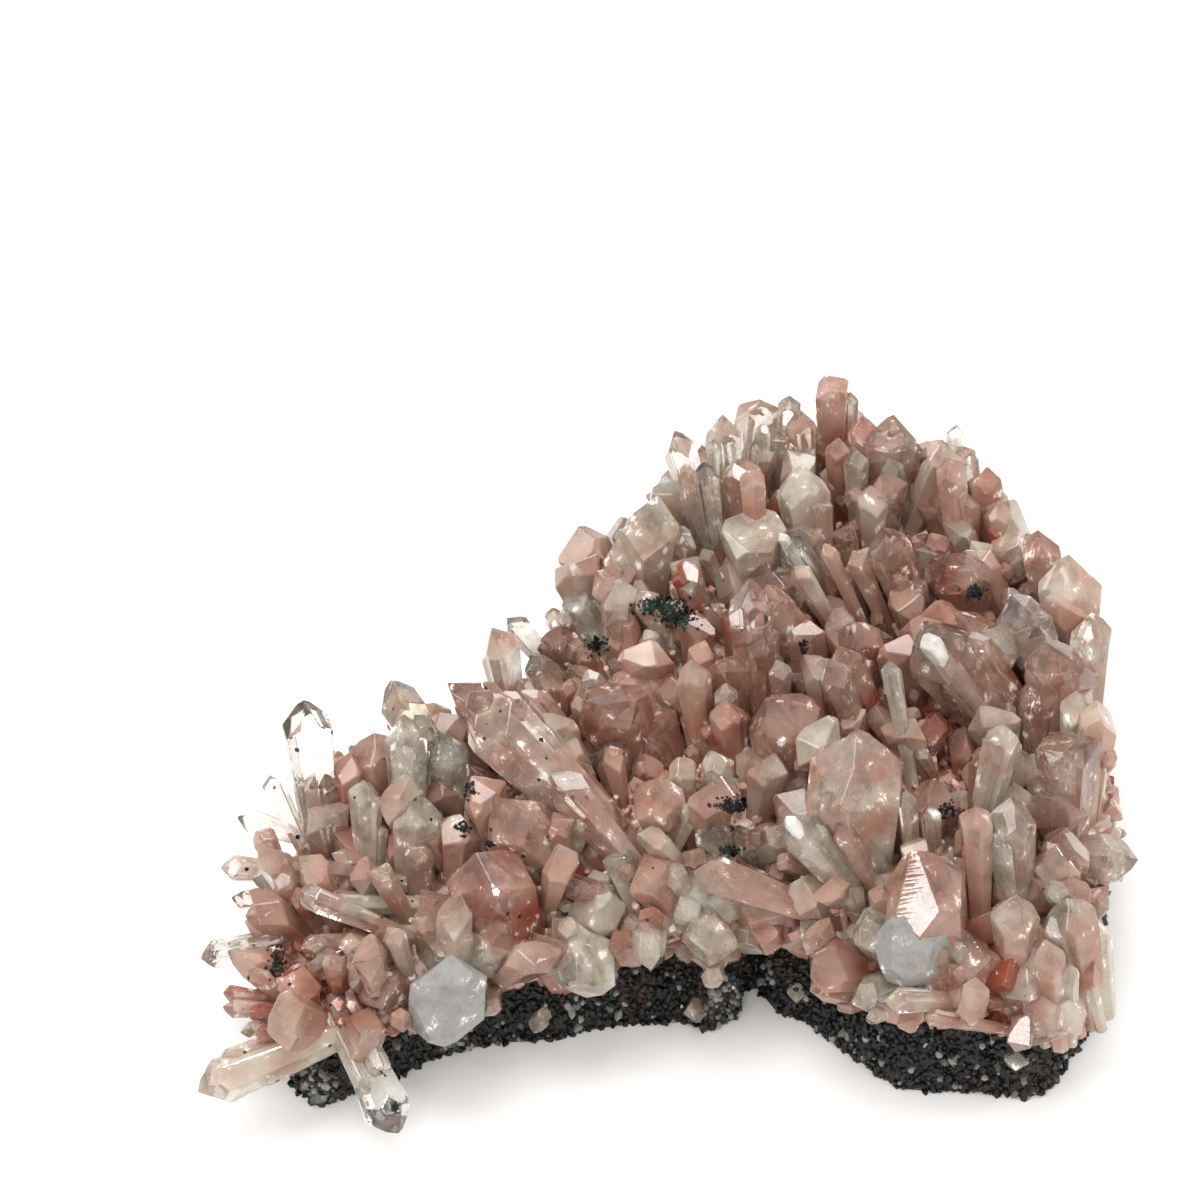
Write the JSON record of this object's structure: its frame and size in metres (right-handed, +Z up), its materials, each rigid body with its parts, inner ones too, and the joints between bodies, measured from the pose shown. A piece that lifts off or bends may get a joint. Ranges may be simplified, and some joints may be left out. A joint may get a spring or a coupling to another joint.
{
  "type": "lithium quartz cluster",
  "caption": "Pink quartz cluster with points standing out of a kidney-shaped plate of dark drusy rock, resting on a flat underside.",
  "frame": {"origin": "centre of the bounding box, on the flat underside of the rock plate", "axes": "+Z up, out of the flat underside; +X along the cluster's length, from the low arm to the high mound; -Y towards the bare front of the rock plate"},
  "size_m": [0.1478, 0.1352, 0.0493],
  "materials": {
    "matrix": "dark drusy rock, glittering",
    "pink_quartz": "dusty pink, see-through towards the tips",
    "clear_quartz": "clear, glossy faces"
  },
  "bodies": {
    "root": {"matrix": "matrix", "quartz_cluster": "pink_quartz", "lone_crystal_left": "clear_quartz", "lone_crystal_middle": "clear_quartz", "lone_crystal_hexagon": "clear_quartz", "lone_crystal_blue": "clear_quartz", "lone_crystal_right": "clear_quartz"}
  },
  "joints": []
}
